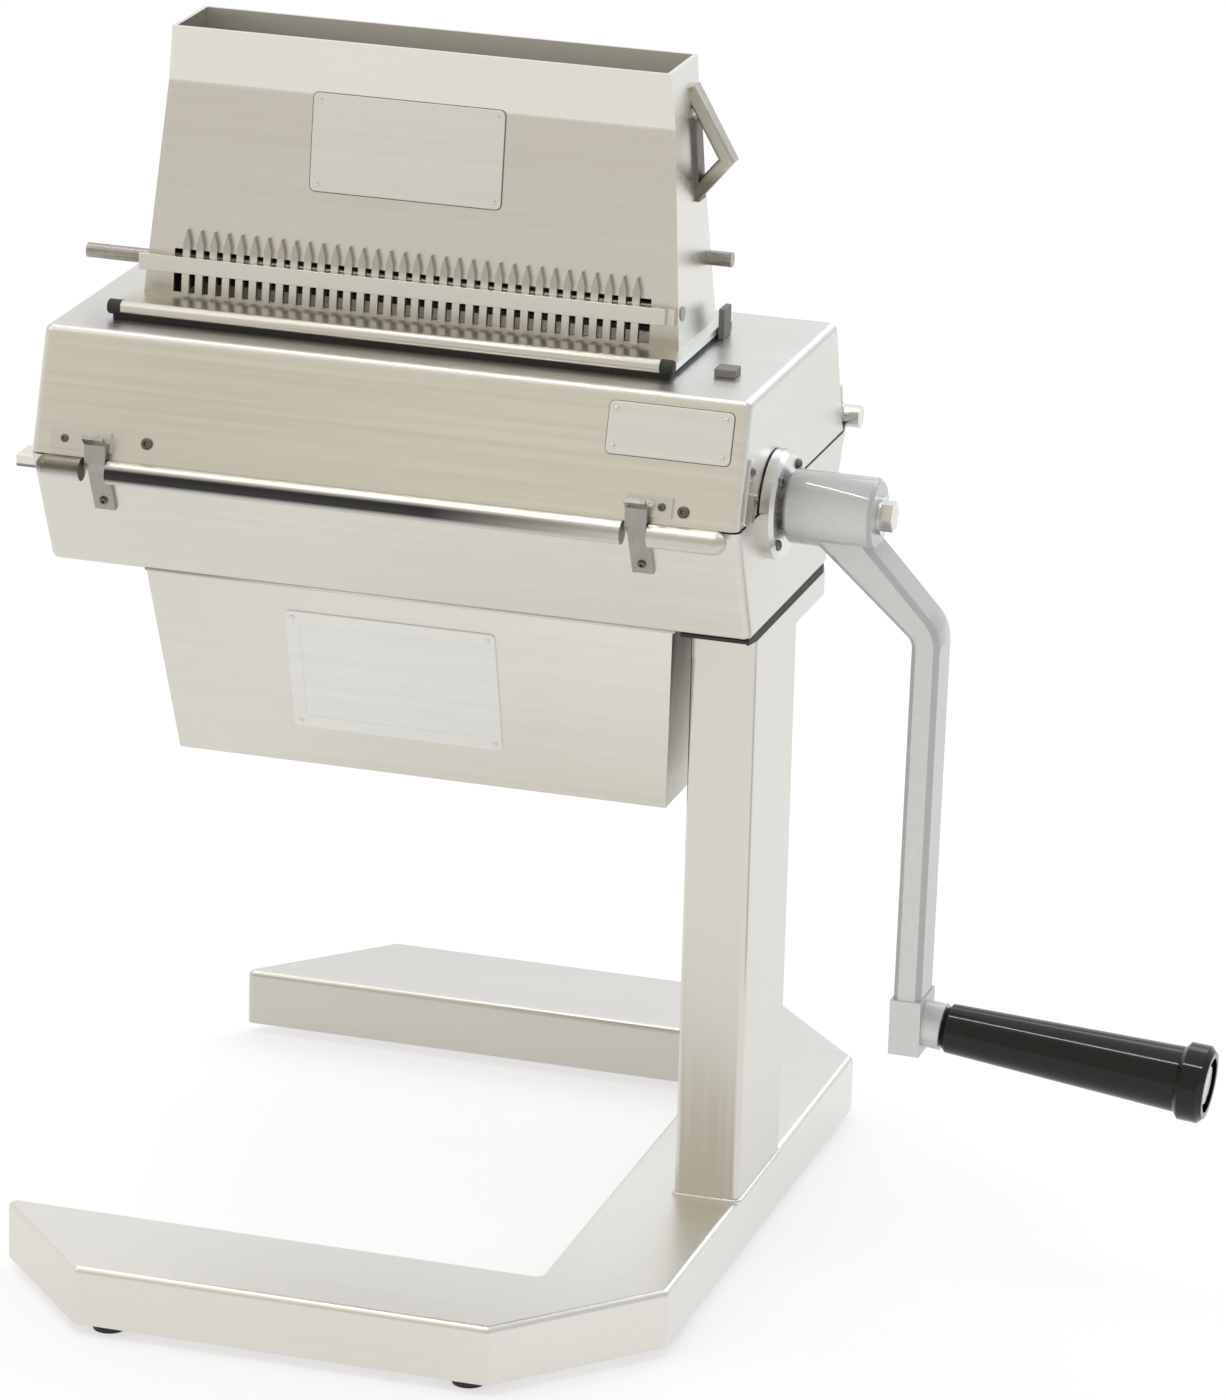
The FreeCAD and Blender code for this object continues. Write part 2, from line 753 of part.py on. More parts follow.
def drive_shaft():
    """Front roller's shaft, which runs on through the bearing to the crank."""
    nose = rod_x(crank_shaft_radius, gear_right, hub_right, drive_y, roller_height)
    thread = rod_x(bolt_radius, hub_right - crank_bolt_depth, hub_right + overshoot, drive_y, roller_height)
    return join(roller_core(drive_y) + [nose]).cut(thread)


def idler_shaft():
    """Rear roller's shaft, which ends in the collar that keeps its gear on."""
    nose = rod_x(crank_shaft_radius, gear_right, gear_right + collar_width, idler_y, roller_height)
    return join(roller_core(idler_y) + [nose])


def knives(y, shift):
    """Star-shaped discs with a hexagonal bore."""
    root = knife_radius - knife_tooth_depth
    outline = []
    for k in range(2 * knife_teeth):
        radius = root if k % 2 else knife_radius
        turn = math.pi * k / knife_teeth
        outline.append((y + radius * math.cos(turn), roller_height + radius * math.sin(turn)))
    half = knife_thickness / 2
    bore = prism_x(hexagon(shaft_flats, y, roller_height), -half - overshoot, half + overshoot)
    disc = prism_x(outline, -half, half).cut(bore)
    return [disc.translated(vec(x, 0, 0)) for x in knife_places(shift)]


def spacers(y, shift):
    """Hexagonal rings that fill the roller's length between its knives."""
    half = knife_thickness / 2
    places = knife_places(shift)
    starts = [stack_left] + [x + half for x in places]
    ends = [x - half for x in places] + [stack_right]
    outline = hexagon(spacer_flats, y, roller_height)
    bore = hexagon(shaft_flats, y, roller_height)
    return [prism_x(outline, x0, x1).cut(prism_x(bore, x0 - overshoot, x1 + overshoot))
            for x0, x1 in zip(starts, ends)]


def involute(radius, base):
    """Angle of an involute's point at that radius."""
    roll = math.sqrt(max((radius / base) ** 2 - 1, 0))
    return roll - math.atan(roll)


def spur_gear(y):
    """Gear with involute flanks and a tooth that points to +Y."""
    pitch_radius = gear_module * gear_teeth / 2
    base = pitch_radius * math.cos(pressure_angle)
    radii = [pitch_radius - gear_dedendum * gear_module, pitch_radius,
             pitch_radius + gear_addendum * gear_module]
    half_tooth = math.pi / 2 / gear_teeth - gear_backlash / 4 / pitch_radius
    halves = [half_tooth + involute(pitch_radius, base) - involute(radius, base) for radius in radii]
    outline = []
    for k in range(gear_teeth):
        middle = 2 * math.pi * k / gear_teeth
        flank = list(zip(radii, halves))
        turns = [(radius, middle - half) for radius, half in flank]
        turns += [(radius, middle + half) for radius, half in flank[::-1]]
        outline += [(y + radius * math.cos(turn), roller_height + radius * math.sin(turn))
                    for radius, turn in turns]
    bore = prism_x(hexagon(gear_seat_flats, y, roller_height), gear_left - overshoot, gear_right + overshoot)
    return prism_x(outline, gear_left, gear_right).cut(bore)


def shaft_collar(y):
    return tube_x(collar_radius, journal_radius, collar_left, collar_left + collar_width, y, roller_height)


def gear_collar():
    return tube_x(collar_radius, crank_shaft_radius, gear_right, gear_right + collar_width,
                  idler_y, roller_height)


def droop(shape):
    """Tilts a piece drawn along +X about the arm's lower end."""
    return shape.rotated(vec(arm_foot, drive_y, grip_z), vec(0, 1, 0), grip_tilt)


def round_corner(shape, corner, radius):
    """Rounds the edge along Y that stands on the corner (x, z) of a prism's outline."""
    def on_corner(edge):
        box = edge.BoundBox
        return box.YLength > slip and math.hypot(box.Center.x - corner[0], box.Center.z - corner[1]) < slip
    return shape.makeFillet(radius, [edge for edge in shape.Edges if on_corner(edge)])


def crank_arm():
    """Cast crank: a boss on the shaft, a cranked arm and an end block whose small boss carries the grip."""
    hub = rod_x(hub_radius, hub_left, hub_right, drive_y, roller_height)
    hub = hub.makeChamfer(hub_chamfer, [edge for edge in hub.Edges if edge.BoundBox.XLength < slip])
    path = [
        (hub_right - arm_root, roller_height),
        (elbow_x, roller_height - elbow_drop),
        (arm_foot, grip_z),
    ]
    near = drive_y - arm_depth / 2
    outline = ribbon(path, arm_root_width, arm_width)
    arm = prism_y(outline, near, near + arm_depth)
    arm = round_corner(arm, outline[1], elbow_bend + arm_width)
    arm = round_corner(arm, outline[-2], elbow_bend)
    edges = [edge for edge in arm.Edges if edge.BoundBox.YLength < slip]
    arm = arm.makeChamfer(arm_chamfer, edges)
    half = arm_width / 2 + arm_end_margin
    end = block(arm_foot - half, arm_foot + half, near - arm_end_margin, near + arm_depth + arm_end_margin,
                grip_z - arm_end_height / 2, grip_z + arm_end_height / 2)
    boss = droop(rod_x(grip_boss_radius, arm_foot, boss_end, drive_y, grip_z))
    bore = rod_x(crank_shaft_radius, hub_left - overshoot, hub_right + overshoot, drive_y, roller_height)
    spindle_bore = droop(rod_x(spindle_radius, arm_foot - arm_width, boss_end + overshoot, drive_y, grip_z))
    return join([hub, arm, end, boss]).cut([bore, spindle_bore])


def crank_bolt():
    """Hexagon bolt with a washer that holds the crank on the shaft's end."""
    face = hub_right + washer_thickness
    washer = rod_x(washer_radius, hub_right, face, drive_y, roller_height)
    head = prism_x(hexagon(bolt_head_flats, drive_y, roller_height), face, face + bolt_head_height)
    shank = rod_x(bolt_radius, hub_right - crank_bolt_depth, hub_right, drive_y, roller_height)
    return join([washer, head, shank])


def grip_spindle():
    """Shoulder bolt through the arm's boss, with its head sunk in the grip's end."""
    seat = grip_end - grip_recess_depth + running
    shank = rod_x(spindle_radius, arm_foot - arm_width / 2, seat, drive_y, grip_z)
    head = rod_x(spindle_head_radius, seat, seat + spindle_head_width, drive_y, grip_z)
    return droop(join([shank, head]))


def crank_grip():
    """Tapered handle turned about the spindle, with a flange and a recess at its outer end."""
    start = boss_end + slip
    bore = spindle_radius + 2 * running
    flange = grip_end - grip_flange_width
    profile = [
        (start, bore),
        (start, grip_root_radius - grip_edge),
        (start + grip_edge, grip_root_radius),
        (flange - grip_edge, grip_swell_radius),
        (flange, grip_flange_radius),
        (grip_end - grip_edge, grip_flange_radius),
        (grip_end, grip_flange_radius - grip_edge),
        (grip_end, grip_recess_radius),
        (grip_end - grip_recess_depth, grip_recess_radius),
        (grip_end - grip_recess_depth, bore),
    ]
    points = [vec(x, drive_y, grip_z + radius) for x, radius in profile]
    face = Part.Face(Part.makePolygon(points + points[:1]))
    return droop(face.revolve(vec(0, drive_y, grip_z), vec(1, 0, 0), 360))


def throat_outline():
    """Plan of the feed opening in the cover's top."""
    front = hopper_offset - throat_top_depth / 2
    half = throat_length / 2
    return rectangle(hopper_x - half, hopper_x + half, front, front + throat_top_depth)


def cover_shell():
    """Upper half of the head: a sheet hood with a feed opening and a notch for the bearing."""
    bottom = seam_height + seam_gap
    rim = wall_depth(bottom)
    half = head_top_half
    body = prism_x([(-rim, bottom), (rim, bottom), (half, head_top), (-half, head_top)],
                   head_left, cover_right)
    folded = [edge for edge in body.Edges if edge.BoundBox.ZMax > head_top - slip]
    body = body.makeFillet(head_bend, folded)
    ceiling = head_top - head_sheet
    inner_rim = wall_depth(bottom, head_sheet)
    inner = wall_depth(ceiling, head_sheet)
    hollow = prism_x([(-inner_rim, bottom), (inner_rim, bottom), (inner, ceiling), (-inner, ceiling)],
                     head_left + head_sheet, cover_right - head_sheet)
    mouth = prism_z(throat_outline(), ceiling - overshoot, head_top + overshoot)
    notch = rod_x(bearing_sleeve_radius + cover_notch_gap, cover_right - head_sheet - overshoot,
                  cover_right + overshoot, drive_y, roller_height)
    return body.cut([hollow, mouth, notch])


def feed_throat():
    """Two plates under the cover that lead the meat from the hopper into the nip of the rollers."""
    ceiling = head_top - head_sheet
    low = ceiling - throat_drop
    half_sheet = throat_sheet / 2
    x0 = hopper_x - throat_length / 2
    x1 = hopper_x + throat_length / 2
    plates = []
    for side in (-1, 1):
        upper = hopper_offset + side * (throat_top_depth / 2 + half_sheet)
        lower = side * (throat_bottom_depth / 2 + half_sheet)
        outline = [(upper - half_sheet, ceiling), (upper + half_sheet, ceiling),
                   (lower + half_sheet, low), (lower - half_sheet, low)]
        plates.append(prism_x(outline, x0, x1))
    return plates


def hopper_levels():
    """Rectangles (z, x0, x1, y0, y1) at the hopper's foot, its neck line and its rim."""
    half_length = hopper_foot_length / 2
    half_depth = hopper_foot_depth / 2
    sizes = [
        (flange_bottom, half_length, half_depth),
        (hopper_neck, half_length - hopper_neck_end_inset, half_depth - hopper_neck_side_inset),
        (hopper_top, half_length - hopper_rim_end_inset, half_depth - hopper_rim_side_inset),
    ]
    return [(z, hopper_x - a, hopper_x + a, hopper_offset - b, hopper_offset + b) for z, a, b in sizes]


def flange_outline():
    half = hopper_foot_length / 2 + flange_side
    return rectangle(hopper_x - half, hopper_x + half, hopper_offset - hopper_foot_depth / 2 - flange_front,
                     hopper_offset + hopper_foot_depth / 2 + flange_rear)


def front_lean():
    """Angle in degrees by which the hopper's front wall leans back from upright."""
    return math.degrees(math.atan2(hopper_neck_side_inset, hopper_neck_rise))


def on_front_wall(shape):
    """Moves a piece drawn on the plane y = 0, with z = 0 at the flange, onto the hopper's front wall."""
    lean = front_lean()
    foot_y = hopper_offset - hopper_foot_depth / 2 + flange_thickness * math.tan(math.radians(lean))
    leaned = shape.rotated(vec(0, 0, 0), vec(1, 0, 0), -lean)
    return leaned.translated(vec(hopper_x, foot_y, hopper_foot))


def end_wall(z):
    """X of the outer face of the hopper's right end wall, below the neck."""
    slope = hopper_neck_end_inset / hopper_neck_rise
    return hopper_x + hopper_foot_length / 2 - slope * (z - flange_bottom)


def rod_place():
    """Axis (y, z) of the cross rod, just inside the front wall."""
    z = hopper_foot + rod_rise
    run = hopper_neck_side_inset / hopper_neck_rise
    front = hopper_offset - hopper_foot_depth / 2 + run * (z - flange_bottom)
    return (front + hopper_sheet + rod_wall_gap + rod_radius, z)


def hopper():
    """Tapered sheet hopper on a flat flange with a rolled front edge, and a window for the comb guard."""
    outer = loft(hopper_levels())
    half = hopper_foot_length / 2 + flange_side
    front = hopper_offset - hopper_foot_depth / 2 - flange_front
    plate = prism_z(flange_outline(), flange_bottom, hopper_foot)
    bead = rod_x(flange_bead_radius, hopper_x - half, hopper_x + half,
                 front, flange_bottom + flange_bead_radius)
    window = block(-window_length / 2, window_length / 2, -overshoot, hopper_sheet + overshoot,
                   window_bottom, window_top)
    rod_hole = rod_x(rod_radius + running, hopper_x - half, hopper_x + half, *rod_place())
    hollow = loft(hopper_levels(), hopper_sheet)
    return join([outer, plate, bead]).cut([hollow, on_front_wall(window), rod_hole])


def hopper_gasket():
    """Black rubber frame between the hopper's flange and the cover."""
    sheet = prism_z(flange_outline(), head_top, flange_bottom, gasket_inset)
    mouth = prism_z(throat_outline(), head_top - overshoot, flange_bottom + overshoot)
    return sheet.cut(mouth)


def guard_places():
    count = int(window_length // guard_pitch)
    return [guard_pitch * (k - (count - 1) / 2) for k in range(count)]


def comb_guard():
    """Upright teeth across the hopper's window, on one strip, with pointed tips."""
    strip = block(-guard_bar_length / 2, guard_bar_length / 2, -guard_thickness, 0,
                  guard_bar_bottom, guard_bar_bottom + guard_bar_height)
    half = guard_tooth_width / 2
    teeth = []
    for x in guard_places():
        outline = [(x - half, guard_bottom), (x + half, guard_bottom), (x + half, guard_shoulder),
                   (x, guard_tip), (x - half, guard_shoulder)]
        teeth.append(prism_y(outline, -guard_thickness, 0))
    return on_front_wall(join([strip] + teeth))


def comb_guard_bar():
    """Flat clamp bar over the comb guard."""
    front = -guard_thickness - guard_bar_thickness
    left = clamp_bar_shift - guard_bar_length / 2
    bar = block(left, left + guard_bar_length, front, -guard_thickness,
                guard_bar_bottom, guard_bar_bottom + guard_bar_height)
    return on_front_wall(bar)


def cross_rod():
    """Rod behind the comb guard, which stands out of the hopper's left end."""
    y, z = rod_place()
    left = hopper_x - hopper_foot_length / 2 - rod_left_reach
    return rod_x(rod_radius, left, end_wall(z) + rod_end_proud, y, z)


def handle_span():
    """The handle's run in Y."""
    middle = hopper_offset + handle_behind_middle
    return (middle - handle_depth / 2, middle + handle_depth / 2)


def hopper_handle():
    """Bent bar welded to the hopper's end wall."""
    wall = hopper_x + hopper_foot_length / 2 - hopper_neck_end_inset
    path = [
        (wall - hopper_sheet, hopper_top - handle_top_drop),
        (wall + handle_reach, hopper_top - handle_corner_drop),
        (wall - hopper_sheet, hopper_top - handle_bottom_drop),
    ]
    bar = prism_y(ribbon(path, handle_bar), *handle_span())
    bar = bar.makeFillet(handle_bend, [edge for edge in bar.Edges if edge.BoundBox.YLength < slip])
    return bar.cut(loft(hopper_levels()))


def handle_strap():
    """Flat strap on the end wall, behind the handle's loop."""
    top = hopper_neck - strap_top_gap
    outline = [(end_wall(z), z) for z in (top - strap_length, top)]
    outline += [(x + strap_thickness, z) for x, z in outline[::-1]]
    strap = prism_y(outline, *handle_span())
    return strap.cut(hopper_handle())


def hopper_side_pin():
    z = hopper_foot + side_pin_rise
    end = hopper_x + hopper_foot_length / 2 + side_pin_reach - hopper_sheet
    y = hopper_offset + hopper_foot_depth / 2 - side_pin_inset
    pin = rod_x(side_pin_radius, hopper_x, end, y, z)
    return pin.cut(loft(hopper_levels()))


def cover_pad():
    """Small rubber stop on the cover's top, beside the hopper."""
    x1 = cover_right - pad_end_gap
    y0 = -head_top_half + pad_behind_front
    return block(x1 - pad_length, x1, y0, y0 + pad_length, head_top, head_top + pad_thickness)


def hopper_stop():
    """Upright tab on the cover's top that locates the hopper's flange."""
    x0 = hopper_x + hopper_foot_length / 2 + flange_side + slip
    y0 = hopper_offset + hopper_foot_depth / 2 - stop_inset
    return block(x0, x0 + stop_thickness, y0, y0 + stop_depth, head_top, head_top + stop_height)


def keeper_plate(middle, width):
    """Thin plate on the cover's front wall, behind a clip's tongue."""
    half_sheet = keeper_thickness / 2
    low = seam_height + keeper_rise
    path = [wall_point(low, half_sheet, -1), wall_point(low + keeper_height, half_sheet, -1)]
    return prism_x(ribbon(path, keeper_thickness), middle - width / 2, middle + width / 2)


def build():
    """Every node of the machine, by name, as one solid or a list of solids."""
    return {
        "base_frame": base_frame(),
        "base_feet": base_feet(),
        "column": column(),
        "column_backing_plate": column_backing_plate(),
        "column_bolts": column_bolts(),
        "saddle": saddle(),
        "saddle_seal": saddle_seal(),
        "lower_housing": lower_housing(),
        "housing_lug": housing_lug(),
        "discharge_chute": discharge_chute(),
        "cradle_plate_left": cradle_plate(left_plate),
        "cradle_plate_right": cradle_plate(right_plate),
        "cradle_tie_rods": cradle_tie_rods(),
        "roller_bushes": roller_bushes(),
        "front_comb": stripper_comb(-1),
        "rear_comb": stripper_comb(1),
        "bearing_flange": bearing_flange(),
        "bearing_bush": bearing_bush(),
        "front_clip_left": front_clip(clip_left),
        "front_clip_right": front_clip(clip_right),
        "hinge_lower_leaves": hinge_lower_leaves(),
        "hinge_pins": hinge_pins(),
        "drive_shaft": drive_shaft(),
        "drive_knives": knives(drive_y, -1),
        "drive_spacers": spacers(drive_y, -1),
        "drive_gear": spur_gear(drive_y),
        "drive_collar": shaft_collar(drive_y),
        "crank_arm": crank_arm(),
        "crank_bolt": crank_bolt(),
        "grip_spindle": grip_spindle(),
        "crank_grip": crank_grip(),
        "idler_shaft": idler_shaft(),
        "idler_knives": knives(idler_y, 1),
        "idler_spacers": spacers(idler_y, 1),
        "idler_gear": spur_gear(idler_y),
        "idler_collar": shaft_collar(idler_y),
        "idler_gear_collar": gear_collar(),
        "cover_shell": cover_shell(),
        "feed_throat": feed_throat(),
        "hopper": hopper(),
        "hopper_gasket": hopper_gasket(),
        "hopper_handle": hopper_handle(),
        "handle_strap": handle_strap(),
        "hopper_side_pin": hopper_side_pin(),
        "comb_guard": comb_guard(),
        "comb_guard_bar": comb_guard_bar(),
        "cross_rod": cross_rod(),
        "cover_pad": cover_pad(),
        "hopper_stop": hopper_stop(),
        "keeper_plate_left": keeper_plate(clip_left + keeper_left_shift, keeper_left_width),
        "keeper_plate_right": keeper_plate(clip_right + keeper_right_shift, keeper_right_width),
        "hinge_upper_leaves": hinge_upper_leaves(),
    }


def export(nodes):
    """Writes each node to its own file, with the origin at the bottom centre of the whole machine."""
    shapes = {name: Part.makeCompound(made) if isinstance(made, list) else made
              for name, made in nodes.items()}
    reach = Part.makeCompound(list(shapes.values())).optimalBoundingBox()
    shift = vec(-(reach.XMin + reach.XMax) / 2, -(reach.YMin + reach.YMax) / 2, -reach.ZMin)
    os.makedirs("parts", exist_ok=True)
    for name, shape in shapes.items():
        shape.translated(shift).exportStep(f"parts/{name}.step")
    print("size", round(reach.XLength, 3), round(reach.YLength, 3), round(reach.ZLength, 3))
    print("moved by", round(shift.x, 4), round(shift.y, 4), round(shift.z, 4))


export(build())
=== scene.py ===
import json
import math

import bmesh
import bpy
from mathutils import Matrix, Vector

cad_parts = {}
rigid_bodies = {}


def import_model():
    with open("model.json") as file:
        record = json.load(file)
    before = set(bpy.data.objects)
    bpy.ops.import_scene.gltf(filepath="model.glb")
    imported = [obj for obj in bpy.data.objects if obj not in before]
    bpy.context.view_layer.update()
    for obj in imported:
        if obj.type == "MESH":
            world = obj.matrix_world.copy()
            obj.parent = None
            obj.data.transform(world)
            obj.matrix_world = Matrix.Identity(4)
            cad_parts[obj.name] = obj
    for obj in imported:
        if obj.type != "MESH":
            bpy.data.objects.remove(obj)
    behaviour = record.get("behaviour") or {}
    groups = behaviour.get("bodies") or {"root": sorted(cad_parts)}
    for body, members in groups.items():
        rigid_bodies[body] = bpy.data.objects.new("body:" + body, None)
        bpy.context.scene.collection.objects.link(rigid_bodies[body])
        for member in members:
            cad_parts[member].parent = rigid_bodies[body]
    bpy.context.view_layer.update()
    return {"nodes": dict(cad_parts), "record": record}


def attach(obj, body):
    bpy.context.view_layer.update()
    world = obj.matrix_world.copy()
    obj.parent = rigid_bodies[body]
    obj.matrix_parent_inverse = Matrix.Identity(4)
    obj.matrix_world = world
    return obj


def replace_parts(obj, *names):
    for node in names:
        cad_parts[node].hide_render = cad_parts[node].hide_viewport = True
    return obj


# Looks of the hand-cranked meat tenderiser. Objects are in metres in the row frame: +X runs along the rollers towards
# the crank, +Y to the rear and +Z up. Places of pieces are written as in the part's source, in millimetres from the
# column's outer face, and at() carries them into the row frame. Places in the shading are in metres in the row frame.

MM = 0.001
SHIFT = 51.0754                 # from the column's outer face to the row's origin, along X

for stray in list(bpy.data.objects):
    bpy.data.objects.remove(stray)
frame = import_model()
nodes = frame["nodes"]


def at(x, y, z):
    """Place in the row frame, in metres."""
    return Vector((x + SHIFT, y, z)) * MM


# Materials

RISING, FALLING = (0.0, 1.0), (1.0, 0.0)


def parts_of(material):
    """A material's nodes, its link function and its shader."""
    tree = material.node_tree
    return tree.nodes, tree.links.new, tree.nodes["Principled BSDF"]


def feed(link, socket, value):
    """Sets a socket to a number or a colour, or links it to another socket."""
    if isinstance(value, float):
        socket.default_value = value
    elif isinstance(value, tuple):
        socket.default_value = (*value, 1.0)
    else:
        link(value, socket)


def coordinate(made, kind):
    """The object's own coordinates: "Object" for the place in metres, "Normal" for the way that a face looks."""
    return made.new("ShaderNodeTexCoord").outputs[kind]


def component(made, link, vector, axis):
    """One component of a vector."""
    split = made.new("ShaderNodeSeparateXYZ")
    link(vector, split.inputs["Vector"])
    return split.outputs[axis]


def noise(made, link, scale, detail):
    """Noise on the object's own coordinates, with so many waves per metre along each axis."""
    mapping = made.new("ShaderNodeMapping")
    mapping.inputs["Scale"].default_value = scale
    link(coordinate(made, "Object"), mapping.inputs["Vector"])
    texture = made.new("ShaderNodeTexNoise")
    texture.inputs["Scale"].default_value = 1.0
    texture.inputs["Detail"].default_value = detail
    link(mapping.outputs["Vector"], texture.inputs["Vector"])
    return texture.outputs["Fac"]


def ranged(made, link, value, source, target):
    """Maps a value from the source range onto the target range, held at its ends."""
    node = made.new("ShaderNodeMapRange")
    node.inputs["From Min"].default_value, node.inputs["From Max"].default_value = source
    node.inputs["To Min"].default_value, node.inputs["To Max"].default_value = target
    link(value, node.inputs["Value"])
    return node.outputs["Result"]


def blended(made, link, factor, first, second, way="MIX"):
    """Colour between two colours, or with MULTIPLY between the first one and its product with the second."""
    node = made.new("ShaderNodeMix")
    node.data_type = "RGBA"
    node.blend_type = way
    for socket, value in (("Factor", factor), ("A", first), ("B", second)):
        feed(link, node.inputs[socket], value)
    return node.outputs["Result"]


def worked(made, link, operation, first, second):
    """Result of one operation on two numbers."""
    node = made.new("ShaderNodeMath")
    node.operation = operation
    feed(link, node.inputs[0], first)
    feed(link, node.inputs[1], second)
    return node.outputs["Value"]


NOISE_SPAN = (0.3, 0.7)         # the noise's values, apart from rare ones
GRAIN_DETAIL, CLOUD_DETAIL = 6.0, 2.0
CLOUD_WAVES = (7.0, 7.0, 7.0)
GRAIN_SHARE = 0.6               # of the colour's variation; the clouds have the rest
RELIEF_DEPTH = 0.0003


def surface(name, dark, light, rough, metallic, grain, relief=0.0):
    """Material whose colour follows broad clouds and grain, and whose roughness and relief follow the grain."""
    material = bpy.data.materials.new(name)
    material.use_nodes = True
    made, link, shader = parts_of(material)
    lines = noise(made, link, grain, GRAIN_DETAIL)
    cloud = noise(made, link, CLOUD_WAVES, CLOUD_DETAIL)
    tone = blended(made, link, ranged(made, link, cloud, NOISE_SPAN, RISING), dark, light)
    streak = blended(made, link, ranged(made, link, lines, NOISE_SPAN, RISING), dark, light)
    link(blended(made, link, GRAIN_SHARE, tone, streak), shader.inputs["Base Color"])
    link(ranged(made, link, lines, NOISE_SPAN, rough), shader.inputs["Roughness"])
    shader.inputs["Metallic"].default_value = metallic
    if relief:
        bump = made.new("ShaderNodeBump")
        bump.inputs["Strength"].default_value = relief
        bump.inputs["Distance"].default_value = RELIEF_DEPTH
        link(lines, bump.inputs["Height"])
        link(bump.outputs["Normal"], shader.inputs["Normal"])
    return material


ALONG = (5.0, 420.0, 420.0)     # brushed along X
UPRIGHT = (420.0, 420.0, 5.0)   # brushed along Z
FINE = (420.0, 420.0, 420.0)    # even grain
SHEET = ((0.67, 0.65, 0.60), (0.74, 0.72, 0.67))
COVER = ((0.73, 0.71, 0.655), (0.80, 0.78, 0.725))
# The stand's tones are the sheet's made lighter: painted light for the dimmer floor that its faces reflect.
STAND = ((0.77, 0.75, 0.71), (0.83, 0.81, 0.77))
SHEET_ROUGH, SHEET_RELIEF = (0.28, 0.40), 0.05


def brushed(name, tones, grain):
    """Brushed stainless sheet between a dark and a light tone."""
    return surface(name, *tones, SHEET_ROUGH, 1.0, grain, SHEET_RELIEF)


def tune(material, values):
    """Sets sockets of a material's shader."""
    for socket, value in values.items():
        parts_of(material)[2].inputs[socket].default_value = value


sheet = brushed("stainless_along", SHEET, ALONG)
sheet_upright = brushed("stainless_upright", SHEET, UPRIGHT)
sheet_stand = brushed("stainless_stand", STAND, ALONG)
sheet_rim = brushed("stainless_rim", SHEET, ALONG)
sheet_cover = brushed("stainless_cover", COVER, ALONG)
sheet_hopper = brushed("stainless_hopper", COVER, ALONG)
sheet_chute = brushed("stainless_chute", COVER, ALONG)
sheet_comb = brushed("stainless_comb", SHEET, UPRIGHT)
lug_steel = brushed("lug_steel", COVER, ALONG)
bright = surface("bright_steel", (0.66, 0.65, 0.62), (0.74, 0.73, 0.71), (0.20, 0.30), 1.0, ALONG, 0.02)
handle_steel = surface("handle_steel", (0.46, 0.43, 0.38), (0.54, 0.51, 0.455), (0.34, 0.44), 1.0, UPRIGHT, 0.02)
clip_steel = surface("clip_steel", (0.31, 0.295, 0.27), (0.41, 0.39, 0.36), (0.26, 0.36), 1.0, UPRIGHT, 0.02)
dark_steel = surface("dark_steel", (0.14, 0.13, 0.115), (0.22, 0.21, 0.19), (0.35, 0.50), 1.0, FINE)
bronze = surface("bronze", (0.46, 0.29, 0.12), (0.55, 0.36, 0.16), (0.30, 0.42), 1.0, FINE, 0.03)
casting = surface("cast_crank", (0.60, 0.60, 0.60), (0.66, 0.66, 0.66), (0.40, 0.50), 0.1, FINE, 0.10)
tune(casting, {"Specular IOR Level": 0.15, "Coat Weight": 1.0, "Coat Roughness": 0.06})
rubber = surface("black_rubber", (0.012, 0.012, 0.012), (0.028, 0.027, 0.025), (0.55, 0.70), 0.0, FINE, 0.10)
grey_rubber = surface("grey_rubber", (0.16, 0.155, 0.14), (0.23, 0.225, 0.205), (0.50, 0.65), 0.0, FINE, 0.10)
gloss = surface("black_gloss", (0.003, 0.003, 0.003), (0.006, 0.006, 0.006), (0.05, 0.10), 0.0, FINE)
tune(gloss, {"Specular IOR Level": 0.35})
plate_steel = surface("blank_plate", (0.66, 0.65, 0.61), (0.72, 0.71, 0.67), (0.40, 0.50), 0.3, ALONG)
plate_white = surface("blank_enamel", (0.76, 0.76, 0.75), (0.82, 0.82, 0.81), (0.30, 0.40), 0.0, ALONG)


def dim(material, share, *masks):
    """Paints shade: multiplies a material's colour by share where all masks are 1.

    A mask is a kind of coordinate, its axis, and the range of its values that is mapped onto the mask's range.
    """
    made, link, shader = parts_of(material)
    whole = None
    for kind, axis, source, target in masks:
        mask = ranged(made, link, component(made, link, coordinate(made, kind), axis), source, target)
        whole = worked(made, link, "MULTIPLY", whole, mask) if whole else mask
    colour = shader.inputs["Base Color"].links[0].from_socket
    link(blended(made, link, whole, colour, share, "MULTIPLY"), shader.inputs["Base Color"])


INWARD = (-0.003, 0.0)          # product of the place, seen from the middle, and the way that a face looks
MOUTH = (0.385, 0.425)          # heights between which the inside gets lighter


